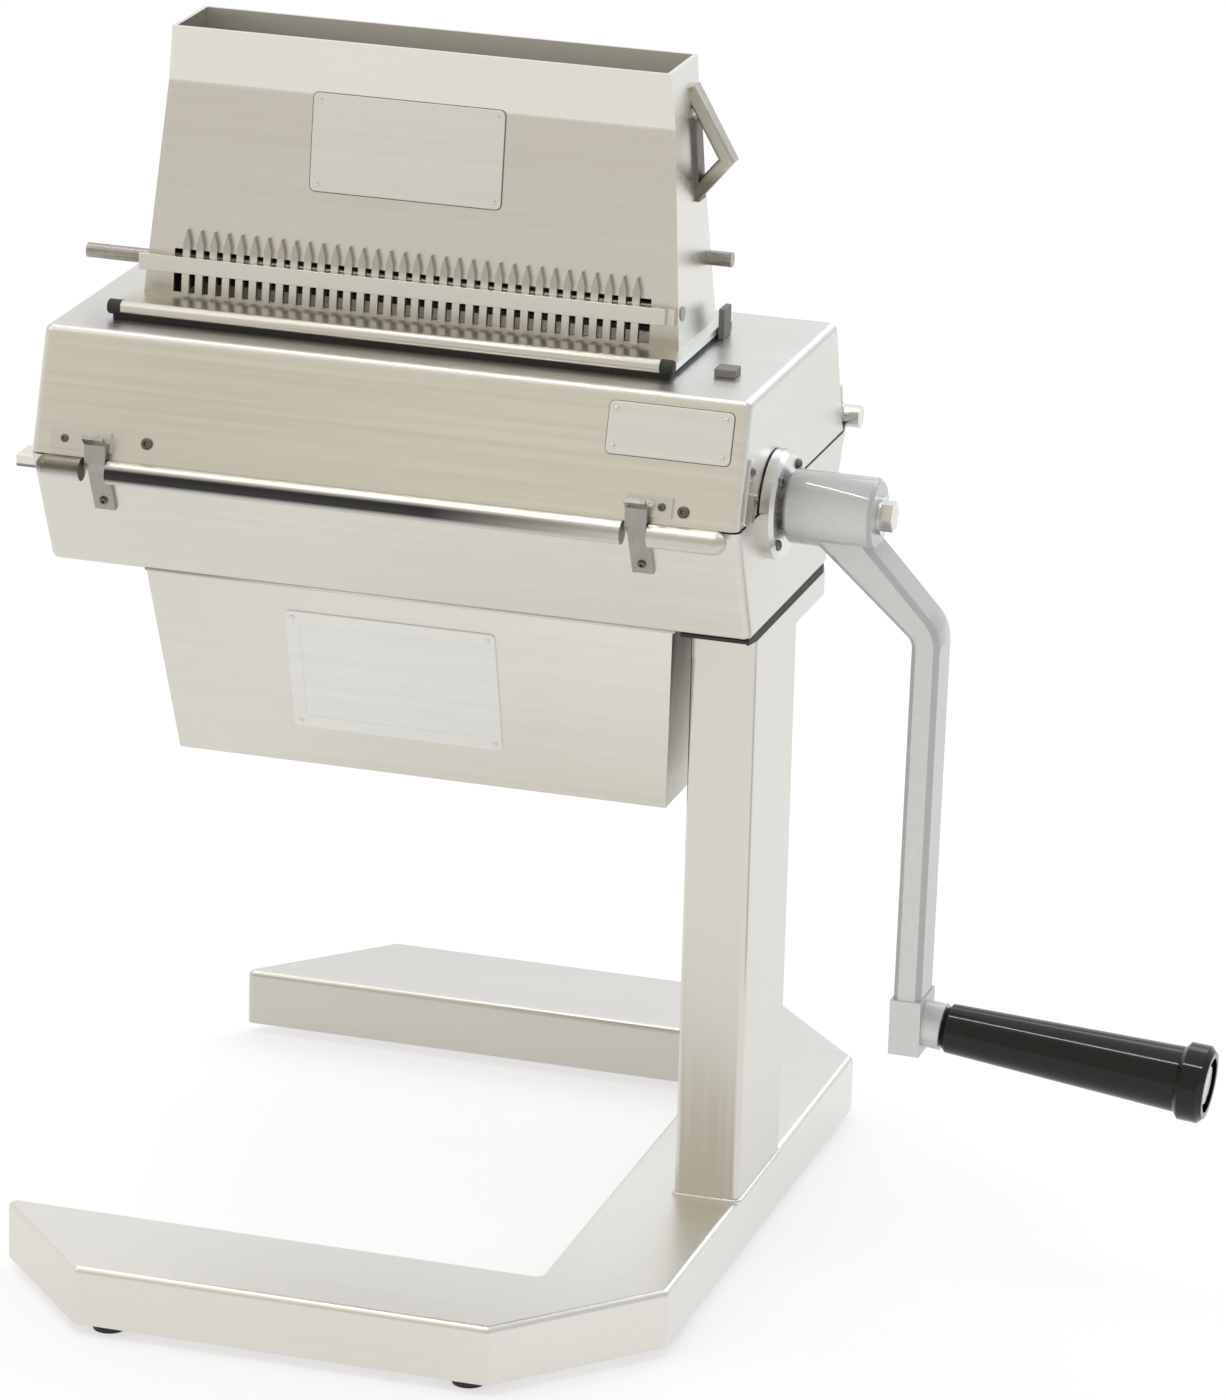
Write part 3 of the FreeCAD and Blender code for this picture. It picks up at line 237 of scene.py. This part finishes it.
def paint_inside_shade(material, middle, high, low):
    """Paints shade on the faces that look towards an upright axis through middle, as inside an open box.

    They take the sheet's dark tone, multiplied by high near the mouth and by low further down.
    """
    made, link, shader = parts_of(material)
    steel = shader.inputs["Base Color"].links[0].from_socket
    place = made.new("ShaderNodeMapping")
    place.inputs["Location"].default_value = (-middle.x, -middle.y, 0.0)
    place.inputs["Scale"].default_value = (1.0, 1.0, 0.0)
    link(coordinate(made, "Object"), place.inputs["Vector"])
    facing = made.new("ShaderNodeVectorMath")
    facing.operation = "DOT_PRODUCT"
    link(place.outputs["Vector"], facing.inputs[0])
    link(coordinate(made, "Normal"), facing.inputs[1])
    inward = ranged(made, link, facing.outputs["Value"], INWARD, FALLING)
    depth = ranged(made, link, component(made, link, coordinate(made, "Object"), "Z"), MOUTH, FALLING)
    shades = [tuple(share * tone for tone in SHEET[0]) for share in (high, low)]
    painted_dark = blended(made, link, depth, *shades)
    link(blended(made, link, inward, steel, painted_dark), shader.inputs["Base Color"])


LOOKS_UP = ("Normal", "Z", (0.5, 0.8), RISING)
LOOKS_ASIDE = ("Normal", "Z", (0.5, 0.8), FALLING)
LOOKS_RIGHT = ("Normal", "X", (0.5, 0.9), RISING)
NOT_RIGHT = ("Normal", "X", (0.5, 0.9), FALLING)
AT_REAR = ("Object", "Y", (-0.02, 0.09), RISING)
ON_RIM = ("Object", "Y", (-0.0722, -0.0708), FALLING)

# Painted shade: the stand's skirt, its rear skirt, its top and its rear top are darkened.
dim(sheet_stand, (0.94, 0.93, 0.92), LOOKS_ASIDE, ("Normal", "X", (0.5, 0.95), FALLING))
dim(sheet_stand, (0.80, 0.795, 0.78), LOOKS_ASIDE, AT_REAR, ("Normal", "Y", (-0.9, -0.5), FALLING))
dim(sheet_stand, (0.94, 0.94, 0.935), LOOKS_UP)
dim(sheet_stand, (0.893, 0.893, 0.90), LOOKS_UP, AT_REAR)
# Painted shade: the cover's left part, its right end and its top are darkened, the top with a cooler tint.
dim(sheet_cover, (0.95, 0.95, 0.95), ("Object", "X", (-0.15, 0.03), FALLING))
dim(sheet_cover, (0.92, 0.92, 0.92), LOOKS_RIGHT)
dim(sheet_cover, (0.88, 0.885, 0.92), LOOKS_UP)
# Painted shade: the hopper below its neck, the chute's left part and the tips of the comb guard are darkened, and the
# chute's right end carries a painted shadow near its front, by the column.
dim(sheet_hopper, (0.86, 0.855, 0.84), ("Object", "Z", (0.421, 0.4225), FALLING), NOT_RIGHT)
dim(sheet_chute, (0.90, 0.90, 0.90), ("Object", "X", (-0.16, 0.0), FALLING))
dim(sheet_chute, (0.10, 0.10, 0.09), LOOKS_RIGHT, ("Object", "Y", (-0.046, -0.039), (1.0, 0.15)))
dim(sheet_comb, (0.66, 0.65, 0.62), ("Object", "Z", (0.359, 0.362), RISING))
# Painted shade: the lower housing's left part is darkened, the rolled rim carries a painted dark band of shade and
# reflection, and the rim's left end is darkened.
dim(sheet_rim, (0.96, 0.96, 0.96), ("Object", "X", (-0.15, 0.0), (1.0, 0.4)))
dim(sheet_rim, (0.07, 0.07, 0.075), ("Normal", "Z", (0.45, 0.85), FALLING), ("Normal", "Z", (-0.8, -0.3), RISING),
    ON_RIM, ("Object", "X", (-0.06, 0.02), (1.0, 0.15)), ("Object", "X", (-0.196, -0.186), (0.3, 1.0)))
dim(sheet_rim, (0.36, 0.34, 0.30), ("Object", "X", (-0.1895, -0.1885), FALLING), ON_RIM,
    ("Normal", "Z", (-0.35, 0.15), RISING))
# Painted shade: the lug's lower edge, the handle's lower leg, and the crank's faces that look neither to the front
# nor to the rear are darkened.
dim(lug_steel, (0.32, 0.30, 0.28), ("Object", "Z", (0.2864, 0.2870), FALLING))
dim(handle_steel, (0.42, 0.40, 0.37), ("Object", "Z", (0.3985, 0.4040), FALLING))
dim(casting, (0.70, 0.70, 0.70), ("Normal", "Y", (-0.98, -0.75), RISING), ("Normal", "Y", (0.75, 0.98), FALLING))
# Painted shade inside the hopper, darker further down.
paint_inside_shade(sheet_hopper, at(-140.0, 5.7, 0.0), 0.9, 0.45)

finish_of_slot = {
    "stainless_sheet": sheet, "bright_steel": bright, "cast_crank": casting, "bronze": bronze,
    "black_rubber": rubber, "black_plastic": gloss,
}
own_finish = {
    "base_frame": sheet_stand, "column": sheet_upright, "saddle": sheet_upright, "lower_housing": sheet_rim,
    "discharge_chute": sheet_chute, "cover_shell": sheet_cover, "hopper": sheet_hopper, "comb_guard": sheet_comb,
    # The handle's strap is dark steel: a painted shadow of the handle on the hopper's wall.
    "hopper_handle": handle_steel, "handle_strap": dark_steel, "feed_throat": dark_steel,
    "hopper_side_pin": clip_steel, "cross_rod": clip_steel, "front_clip_left": clip_steel,
    "front_clip_right": clip_steel, "housing_lug": lug_steel, "hopper_stop": grey_rubber, "cover_pad": grey_rubber,
}
for part in frame["record"]["subparts"]:
    name, slot = part["node"], part["material_slot"]
    nodes[name].data.materials.clear()
    nodes[name].data.materials.append(own_finish.get(name, finish_of_slot[slot]))

WELD_DISTANCE = 1e-6
BEVEL_ANGLE = math.radians(40)  # edges sharper than this are broken


def soften(name, width):
    """Breaks the sharp edges of a CAD piece with a small bevel."""
    weld = nodes[name].modifiers.new("weld", "WELD")
    weld.merge_threshold = WELD_DISTANCE
    bevel = nodes[name].modifiers.new("bevel", "BEVEL")
    bevel.width = width * MM
    bevel.segments = 2
    bevel.limit_method = "ANGLE"
    bevel.angle_limit = BEVEL_ANGLE
    bevel.harden_normals = True


for name, width in (("hopper", 0.5), ("discharge_chute", 0.5), ("crank_arm", 0.6), ("comb_guard_bar", 0.3),
                    ("hopper_handle", 1.4), ("housing_lug", 0.5), ("hopper_stop", 0.4), ("cover_pad", 0.6)):
    soften(name, width)


# Small pieces that the part's source leaves to the looks

SMOOTH_ANGLE = math.radians(35)
QUADRANTS = ((1, 1), (-1, 1), (-1, -1), (1, -1))
RIGHT, UP = (1, 0, 0), (0, 0, 1)


def stack(rings):
    """Closed mesh through rings of equally many points, with a flat face on the first and the last ring."""
    bm = bmesh.new()
    rows = [[bm.verts.new(point) for point in ring] for ring in rings]
    count = len(rows[0])
    for low, high in zip(rows, rows[1:]):
        for k in range(count):
            bm.faces.new((low[k], low[(k + 1) % count], high[(k + 1) % count], high[k]))
    bm.faces.new(rows[0][::-1])
    bm.faces.new(rows[-1])
    return bm


def on_surface(place, out, up):
    """Frame at a place with its Z along out and its Y along up."""
    z = Vector(out).normalized()
    x = Vector(up).cross(z).normalized()
    return Matrix.Translation(place) @ Matrix((x, z.cross(x), z)).transposed().to_4x4()


def add_piece(name, bm, frame_at, material, body):
    """Turns a mesh drawn in millimetres in its own frame into a piece that rides on a body."""
    mesh = bpy.data.meshes.new(name)
    bm.transform(frame_at @ Matrix.Scale(MM, 4))
    bmesh.ops.recalc_face_normals(bm, faces=bm.faces)
    bm.to_mesh(mesh)
    bm.free()
    mesh.materials.append(material)
    mesh.shade_smooth()
    mesh.set_sharp_from_angle(angle=SMOOTH_ANGLE)
    made = bpy.data.objects.new(name, mesh)
    bpy.context.scene.collection.objects.link(made)
    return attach(made, body)


def round_ring(radius, height, socket=False, sides=24):
    """Ring of points at a height: a circle, or a hexagon of that inner radius."""
    points = []
    for k in range(sides):
        turn = 2 * math.pi * k / sides
        reach = radius / math.cos(turn % (math.pi / 3) - math.pi / 6) if socket else radius
        points.append((reach * math.cos(turn), reach * math.sin(turn), height))
    return points


SCREW_HEIGHT = 0.6              # of its radius
SCREW_HEAD = ((1.0, 0.0), (1.0, 0.35), (0.93, 0.7), (0.74, 1.0))    # shares of its radius and height
SCREW_SOCKET = ((0.42, 1.0), (0.40, 0.3))


def screw(name, place, out, radius, body):
    """Button-head screw with a hexagonal socket."""
    height = SCREW_HEIGHT * radius
    rings = [round_ring(reach * radius, rise * height) for reach, rise in SCREW_HEAD]
    rings += [round_ring(reach * radius, rise * height, True) for reach, rise in SCREW_SOCKET]
    up = RIGHT if abs(Vector(out).normalized().x) < 0.9 else UP
    return add_piece(name, stack(rings), on_surface(place, out, up), dark_steel, body)


SMALLEST_CORNER = 0.3


def rounded_ring(width, height, corner, inset, z, steps=5):
    """Rounded rectangle at height z, drawn in by inset."""
    radius = max(corner - inset, SMALLEST_CORNER)
    points = []
    for k, (sx, sy) in enumerate(QUADRANTS):
        for step in range(steps + 1):
            turn = math.pi / 2 * (k + step / steps)
            points.append((sx * (width / 2 - inset - radius) + radius * math.cos(turn),
                           sy * (height / 2 - inset - radius) + radius * math.sin(turn), z))
    return points


PLATE, PLATE_CORNER = 0.6, 2.0  # thickness and corner radius
PLATE_EDGE = 0.35               # of its thickness
BACKING = 0.25                  # thickness
RIVET, RIVET_INSET = 0.9, 2.7   # radius, and distance from the plate's edges
RIVET_RINGS = ((1.0, 0.0), (0.9, 0.25), (0.5, 0.45))                # share of its radius, and height


def plate(name, place, out, up, width, height, material, body, thickness=PLATE, corner=PLATE_CORNER,
          border=0.0):
    """Bare plate with a broken edge, and with a raised border if one is asked for."""
    edge = PLATE_EDGE * thickness
    rings = [
        rounded_ring(width, height, corner, 0.0, 0.0),
        rounded_ring(width, height, corner, 0.0, thickness - edge),
        rounded_ring(width, height, corner, edge, thickness),
    ]
    if border:
        rings.append(rounded_ring(width, height, corner, border, thickness))
        rings.append(rounded_ring(width, height, corner, border + edge, thickness - edge))
    return add_piece(name, stack(rings), on_surface(place, out, up), material, body)


def riveted_plate(name, place, out, up, width, height, material, slot, body, border=0.0, backing=0.0):
    """Bare plate held by a rivet in each corner, on a dark backing that shows so far round its edge."""
    plate(name, place, out, up, width, height, material, body, border=border)
    if backing:
        plate(f"{name}_backing", place, out, up, width + 2 * backing, height + 2 * backing, dark_steel,
              body, thickness=BACKING, corner=PLATE_CORNER + backing)
    base = on_surface(place, out, up)
    for k, (sx, sy) in enumerate(QUADRANTS):
        spot = base @ (Vector((sx * (width / 2 - RIVET_INSET), sy * (height / 2 - RIVET_INSET), PLATE)) * MM)
        rings = [round_ring(share * RIVET, rise) for share, rise in RIVET_RINGS]
        add_piece(f"{name}_rivet_{k + 1}", stack(rings), on_surface(spot, out, up), bright, body)


def wall(low, high, z):
    """Place in Y, outward and upward direction on a front wall through (y, z) low and high, at height z."""
    share = (z - low[1]) / (high[1] - low[1])
    y = low[0] + share * (high[0] - low[0])
    up = Vector((0, high[0] - low[0], high[1] - low[1])).normalized()
    return y, Vector((0, -up.z, up.y)), up


HOPPER_FRONT = ((-18.1, 341.0), (-9.3, 422.3))
COVER_FRONT = ((-70.5, 294.0), (-56.5, 339.0))
LOWER_FRONT = ((-49.5, 248.0), (-70.5, 294.0))
CHUTE_FRONT = ((-30.0, 174.0), (-49.5, 248.0))
LOWER_REAR = ((49.5, 248.0), (70.5, 294.0))
COVER_REAR = ((70.5, 294.0), (56.5, 339.0))

# Each plate's name, wall, place (x, z), size, finish, body, border and backing.
PLATES = (
    ("hopper_plate", HOPPER_FRONT, (-143.8, 405.0), (72.8, 36.0), plate_steel, "cover", 0.0, 0.35),
    ("cover_plate", COVER_FRONT, (-27.4, 325.6), (46.0, 18.8), plate_steel, "cover", 0.0, 0.3),
    ("chute_plate", CHUTE_FRONT, (-135.5, 214.0), (80.5, 50.0), plate_white, "stand", 5.0, 0.0),
)
for name, front, (x, z), size, finish, body, border, backing in PLATES:
    y, out, up = wall(*front, z)
    riveted_plate(name, at(x, y, z), out, up, *size, finish, "stainless_sheet", body, border, backing)

# Each kind of screw's name, wall, places (x, z), height of its seat over the wall, radius and body.
FRONT_SCREWS = (
    ("cover_screw", COVER_FRONT, ((-221.8, 301.7), (-19.2, 299.6)), 0.0, 2.2, "cover"),
    ("keeper_screw", COVER_FRONT, ((-253.0, 300.5), (-27.0, 300.5)), 1.2, 1.5, "cover"),
    ("clip_screw", LOWER_FRONT, ((-239.8, 278.0), (-35.3, 278.0)), 1.5, 1.6, "stand"),
)
for name, front, places, proud, radius, body in FRONT_SCREWS:
    for k, (x, z) in enumerate(places):
        y, out, up = wall(*front, z)
        screw(f"{name}_{k + 1}", at(x, y, z) + out * proud * MM, out, radius, body)

FLANGE_FACE, FLANGE_Y, FLANGE_Z = 6.8, -25.0, 293.0
FLANGE_CIRCLE, FLANGE_SCREW = 16.8, 2.0
for k in range(4):
    turn = math.radians(45 + 90 * k)
    place = at(FLANGE_FACE, FLANGE_Y + FLANGE_CIRCLE * math.cos(turn), FLANGE_Z + FLANGE_CIRCLE * math.sin(turn))
    screw(f"flange_screw_{k + 1}", place, RIGHT, FLANGE_SCREW, "stand")

HINGE_STARTS, HINGE_FIRST, HINGE_STEP, HINGE_SCREWS = (-265.2, -55.2), 8.0, 20.0, 3
HINGE_LEAF, HINGE_SCREW = 2.0, 2.0
LEAVES = (("upper", COVER_REAR, 306.0, "cover"), ("lower", LOWER_REAR, 281.0, "stand"))
for k, start in enumerate(HINGE_STARTS):
    for step in range(HINGE_SCREWS):
        x = start + HINGE_FIRST + HINGE_STEP * step
        number = HINGE_SCREWS * k + step + 1
        for side, rear, z, body in LEAVES:
            y, out, up = wall(*rear, z)
            screw(f"hinge_{side}_screw_{number}", at(x, y, z) - out * HINGE_LEAF * MM, -out, HINGE_SCREW, body)

CAP_ENDS, CAP_Y, CAP_Z = ((-246.5, -1), (-33.5, 1)), -40.1, 343.5
CAP_RINGS = ((2.75, -4.0), (2.75, 0.4), (2.3, 0.9))                 # radius and height
for k, (x, way) in enumerate(CAP_ENDS):
    rings = [round_ring(radius, height) for radius, height in CAP_RINGS]
    add_piece(f"flange_cap_{k + 1}", stack(rings), on_surface(at(x, CAP_Y, CAP_Z), (way, 0, 0), UP), rubber,
              "cover")

CORNER_Y, CORNER_Z, CORNER_ROUND, CORNER_SCREW = -58.7, 306.6, 1.0, 1.5
CORNER_PLATE, CORNER_BLOCK = 1.0, 2.2                               # thickness
COVER_END = 1.2
plate_face = COVER_END + CORNER_PLATE
block_face = plate_face + CORNER_BLOCK
lean = wall(*COVER_FRONT, CORNER_Z)[2]


def corner_place(x, z):
    """Place on the cover's right end, along the slope of its front wall."""
    return at(x, CORNER_Y + (z - CORNER_Z) * (lean.y / lean.z), z)


plate("corner_plate", corner_place(COVER_END, CORNER_Z), RIGHT, lean, 6.0, 24.0, bright, "cover",
      CORNER_PLATE, CORNER_ROUND)
plate("corner_block", corner_place(plate_face, 301.0), RIGHT, lean, 5.0, 11.0, clip_steel, "cover",
      CORNER_BLOCK, CORNER_ROUND)
for k, (face, z) in enumerate(((block_face, 303.5), (plate_face, 313.5))):
    screw(f"corner_screw_{k + 1}", corner_place(face, z), RIGHT, CORNER_SCREW, "cover")


def weld_bead(name, points, radius, material, body):
    """Closed weld bead along points in the row frame."""
    data = bpy.data.curves.new(name, "CURVE")
    data.dimensions = "3D"
    data.bevel_depth = radius * MM
    data.bevel_resolution = 3
    spline = data.splines.new("POLY")
    spline.points.add(len(points) - 1)
    for spot, point in zip(spline.points, points):
        spot.co = (*point, 1.0)
    spline.use_cyclic_u = True
    data.materials.append(material)
    made = bpy.data.objects.new(name, data)
    bpy.context.scene.collection.objects.link(made)
    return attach(made, body)


FOOT_X, FOOT_Y, FOOT_Z = -12.5, -8.5, 26.3
FOOT_SIZE, FOOT_CORNER = (25.4, 55.4), 2.5
foot = [at(FOOT_X + x, FOOT_Y + y, FOOT_Z) for x, y, z in rounded_ring(*FOOT_SIZE, FOOT_CORNER, 0.0, 0.0)]
weld_bead("column_weld", foot, 0.9, bright, "stand")
CHUTE_LEFT, CHUTE_RIGHT, CHUTE_HALF, CHUTE_TOP = -229.1, -27.4, 49.2, 248.1
seam = [at(x, y, CHUTE_TOP) for x, y in ((CHUTE_LEFT, -CHUTE_HALF), (CHUTE_RIGHT, -CHUTE_HALF),
                                         (CHUTE_RIGHT, CHUTE_HALF), (CHUTE_LEFT, CHUTE_HALF))]
weld_bead("chute_seam", seam, 0.6, sheet, "stand")


# The seal's bulb along the column's outer side is partly real rubber and partly painted shadow: it is made thick to
# stand for the shadow in the gap there.
def seal_ring(y, low):
    """Outline of the seal across its length at y: flat under the head, with a bulb along the column's outer side."""
    left, side, bulb, top, squeezed, cut = -24.95, 0.1, 0.95, 247.95, 248.65, 0.4
    points = ((left, low + cut), (left + cut, low), (side - cut, low), (side, low - cut), (bulb - cut, low - cut),
              (bulb, low), (bulb, squeezed - cut), (bulb - cut, squeezed), (side - cut, top), (left, top))
    return [(x + SHIFT, y, z) for x, z in points]


SEAL_HALF, SEAL_TAPER = 48.9, -38.0     # half its length, and where its tapered front end begins
SEAL_TIP, SEAL_LOW = 246.7, 245.05      # heights of its lower side
seal = stack([seal_ring(-SEAL_HALF, SEAL_TIP), seal_ring(SEAL_TAPER, SEAL_LOW), seal_ring(SEAL_HALF, SEAL_LOW)])
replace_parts(add_piece("seal_strip", seal, Matrix.Identity(4), rubber, "stand"), "saddle_seal")


# Stage, light and camera

def quad(name, corners, material):
    """Flat face through its corners."""
    mesh = bpy.data.meshes.new(name)
    mesh.from_pydata(corners, [], [tuple(range(len(corners)))])
    mesh.materials.append(material)
    made = bpy.data.objects.new(name, mesh)
    bpy.context.scene.collection.objects.link(made)
    return made


FLOOR_REACH = 9.0
FLOOR_WAVES = (2.0, 2.0, 2.0)
FLOOR_WHITE = 0.6
floor_finish = surface("pale_floor", (0.94, 0.94, 0.94), (0.96, 0.96, 0.96), (0.7, 0.8), 0.0, FLOOR_WAVES)
corners = [(sx * FLOOR_REACH, sy * FLOOR_REACH, 0) for sx, sy in ((-1, -1), (1, -1), (1, 1), (-1, 1))]
quad("floor", corners, floor_finish)


def whiten(material, share):
    """Shows a share of plain white in place of the lit surface, in sight and in reflections."""
    made, link, shader = parts_of(material)
    path = made.new("ShaderNodeLightPath")
    seen = worked(made, link, "MAXIMUM", path.outputs["Is Camera Ray"], path.outputs["Is Glossy Ray"])
    both = made.new("ShaderNodeMixShader")
    link(worked(made, link, "MULTIPLY", seen, share), both.inputs["Fac"])
    link(shader.outputs["BSDF"], both.inputs[1])
    link(made.new("ShaderNodeEmission").outputs["Emission"], both.inputs[2])
    link(both.outputs["Shader"], made["Material Output"].inputs["Surface"])


whiten(floor_finish, FLOOR_WHITE)

WHITE = (1.0, 1.0, 1.0)
ROOM_FRONT, ROOM_RIGHT = (0.73, 0.69, 0.605), (0.66, 0.675, 0.70)
world = bpy.data.worlds.new("studio")
bpy.context.scene.world = world
world.use_nodes = True
made, link = world.node_tree.nodes, world.node_tree.links.new
way = coordinate(made, "Generated")
rearward = ranged(made, link, component(made, link, way, "Y"), (-0.75, 0.55), RISING)
rightward = ranged(made, link, component(made, link, way, "X"), (0.1, 0.95), RISING)
room = blended(made, link, rightward, blended(made, link, rearward, ROOM_FRONT, WHITE), ROOM_RIGHT)
link(room, made["Background"].inputs["Color"])
made["Background"].inputs["Strength"].default_value = 1.0


def area_light(name, place, target, size, power, colour):
    """Rectangular lamp that faces a target and isn't seen itself."""
    data = bpy.data.lights.new(name, "AREA")
    data.shape = "RECTANGLE"
    data.size, data.size_y = size
    data.energy = power
    data.color = colour
    made = bpy.data.objects.new(name, data)
    made.location = place
    made.rotation_euler = (Vector(target) - Vector(place)).to_track_quat("-Z", "Y").to_euler()
    made.visible_camera = False
    bpy.context.scene.collection.objects.link(made)


HEAD = (0.0, 0.0, 0.2)
area_light("overhead", (-0.4, 0.4, 2.3), HEAD, (3.4, 2.6), 6.5, WHITE)
area_light("strip", (-0.3, -0.33, 2.1), (0.1, 0.0, 0.2), (1.4, 0.06), 6.0, WHITE)
area_light("front_left", (-1.9, -1.3, 2.1), HEAD, (1.6, 1.2), 6.0, (1.0, 0.99, 0.97))
area_light("rear_floor", (0.7, 1.7, 1.5), (0.55, 1.3, 0.0), (1.6, 1.6), 14.0, (0.72, 0.88, 1.0))

# The camera was fitted to the photo: angles in degrees, distance and aim in metres, lens and sensor in millimetres.
YAW, PITCH, ROLL = 16.87, 18.61, 1.54
DISTANCE = 2.66772
AIM = at(-64.03, -0.58, 202.68)
LENS, SENSOR, SIGHT = 186.6, 36.0, 50.0
yaw, pitch, roll = math.radians(YAW), math.radians(PITCH), math.radians(ROLL)
back = Vector((math.sin(yaw) * math.cos(pitch), -math.cos(yaw) * math.cos(pitch), math.sin(pitch)))
level = Vector((math.cos(yaw), math.sin(yaw), 0.0))
rise = level.cross(-back)
right = level * math.cos(roll) + rise * math.sin(roll)
upward = rise * math.cos(roll) - level * math.sin(roll)
lens = bpy.data.cameras.new("camera")
lens.lens = LENS
lens.sensor_width = SENSOR
lens.clip_end = SIGHT
camera = bpy.data.objects.new("camera", lens)
camera.matrix_world = Matrix.Translation(AIM + back * DISTANCE) @ Matrix((right, upward, back)).transposed().to_4x4()
bpy.context.scene.collection.objects.link(camera)
bpy.context.scene.camera = camera
bpy.context.scene.view_settings.view_transform = "Standard"
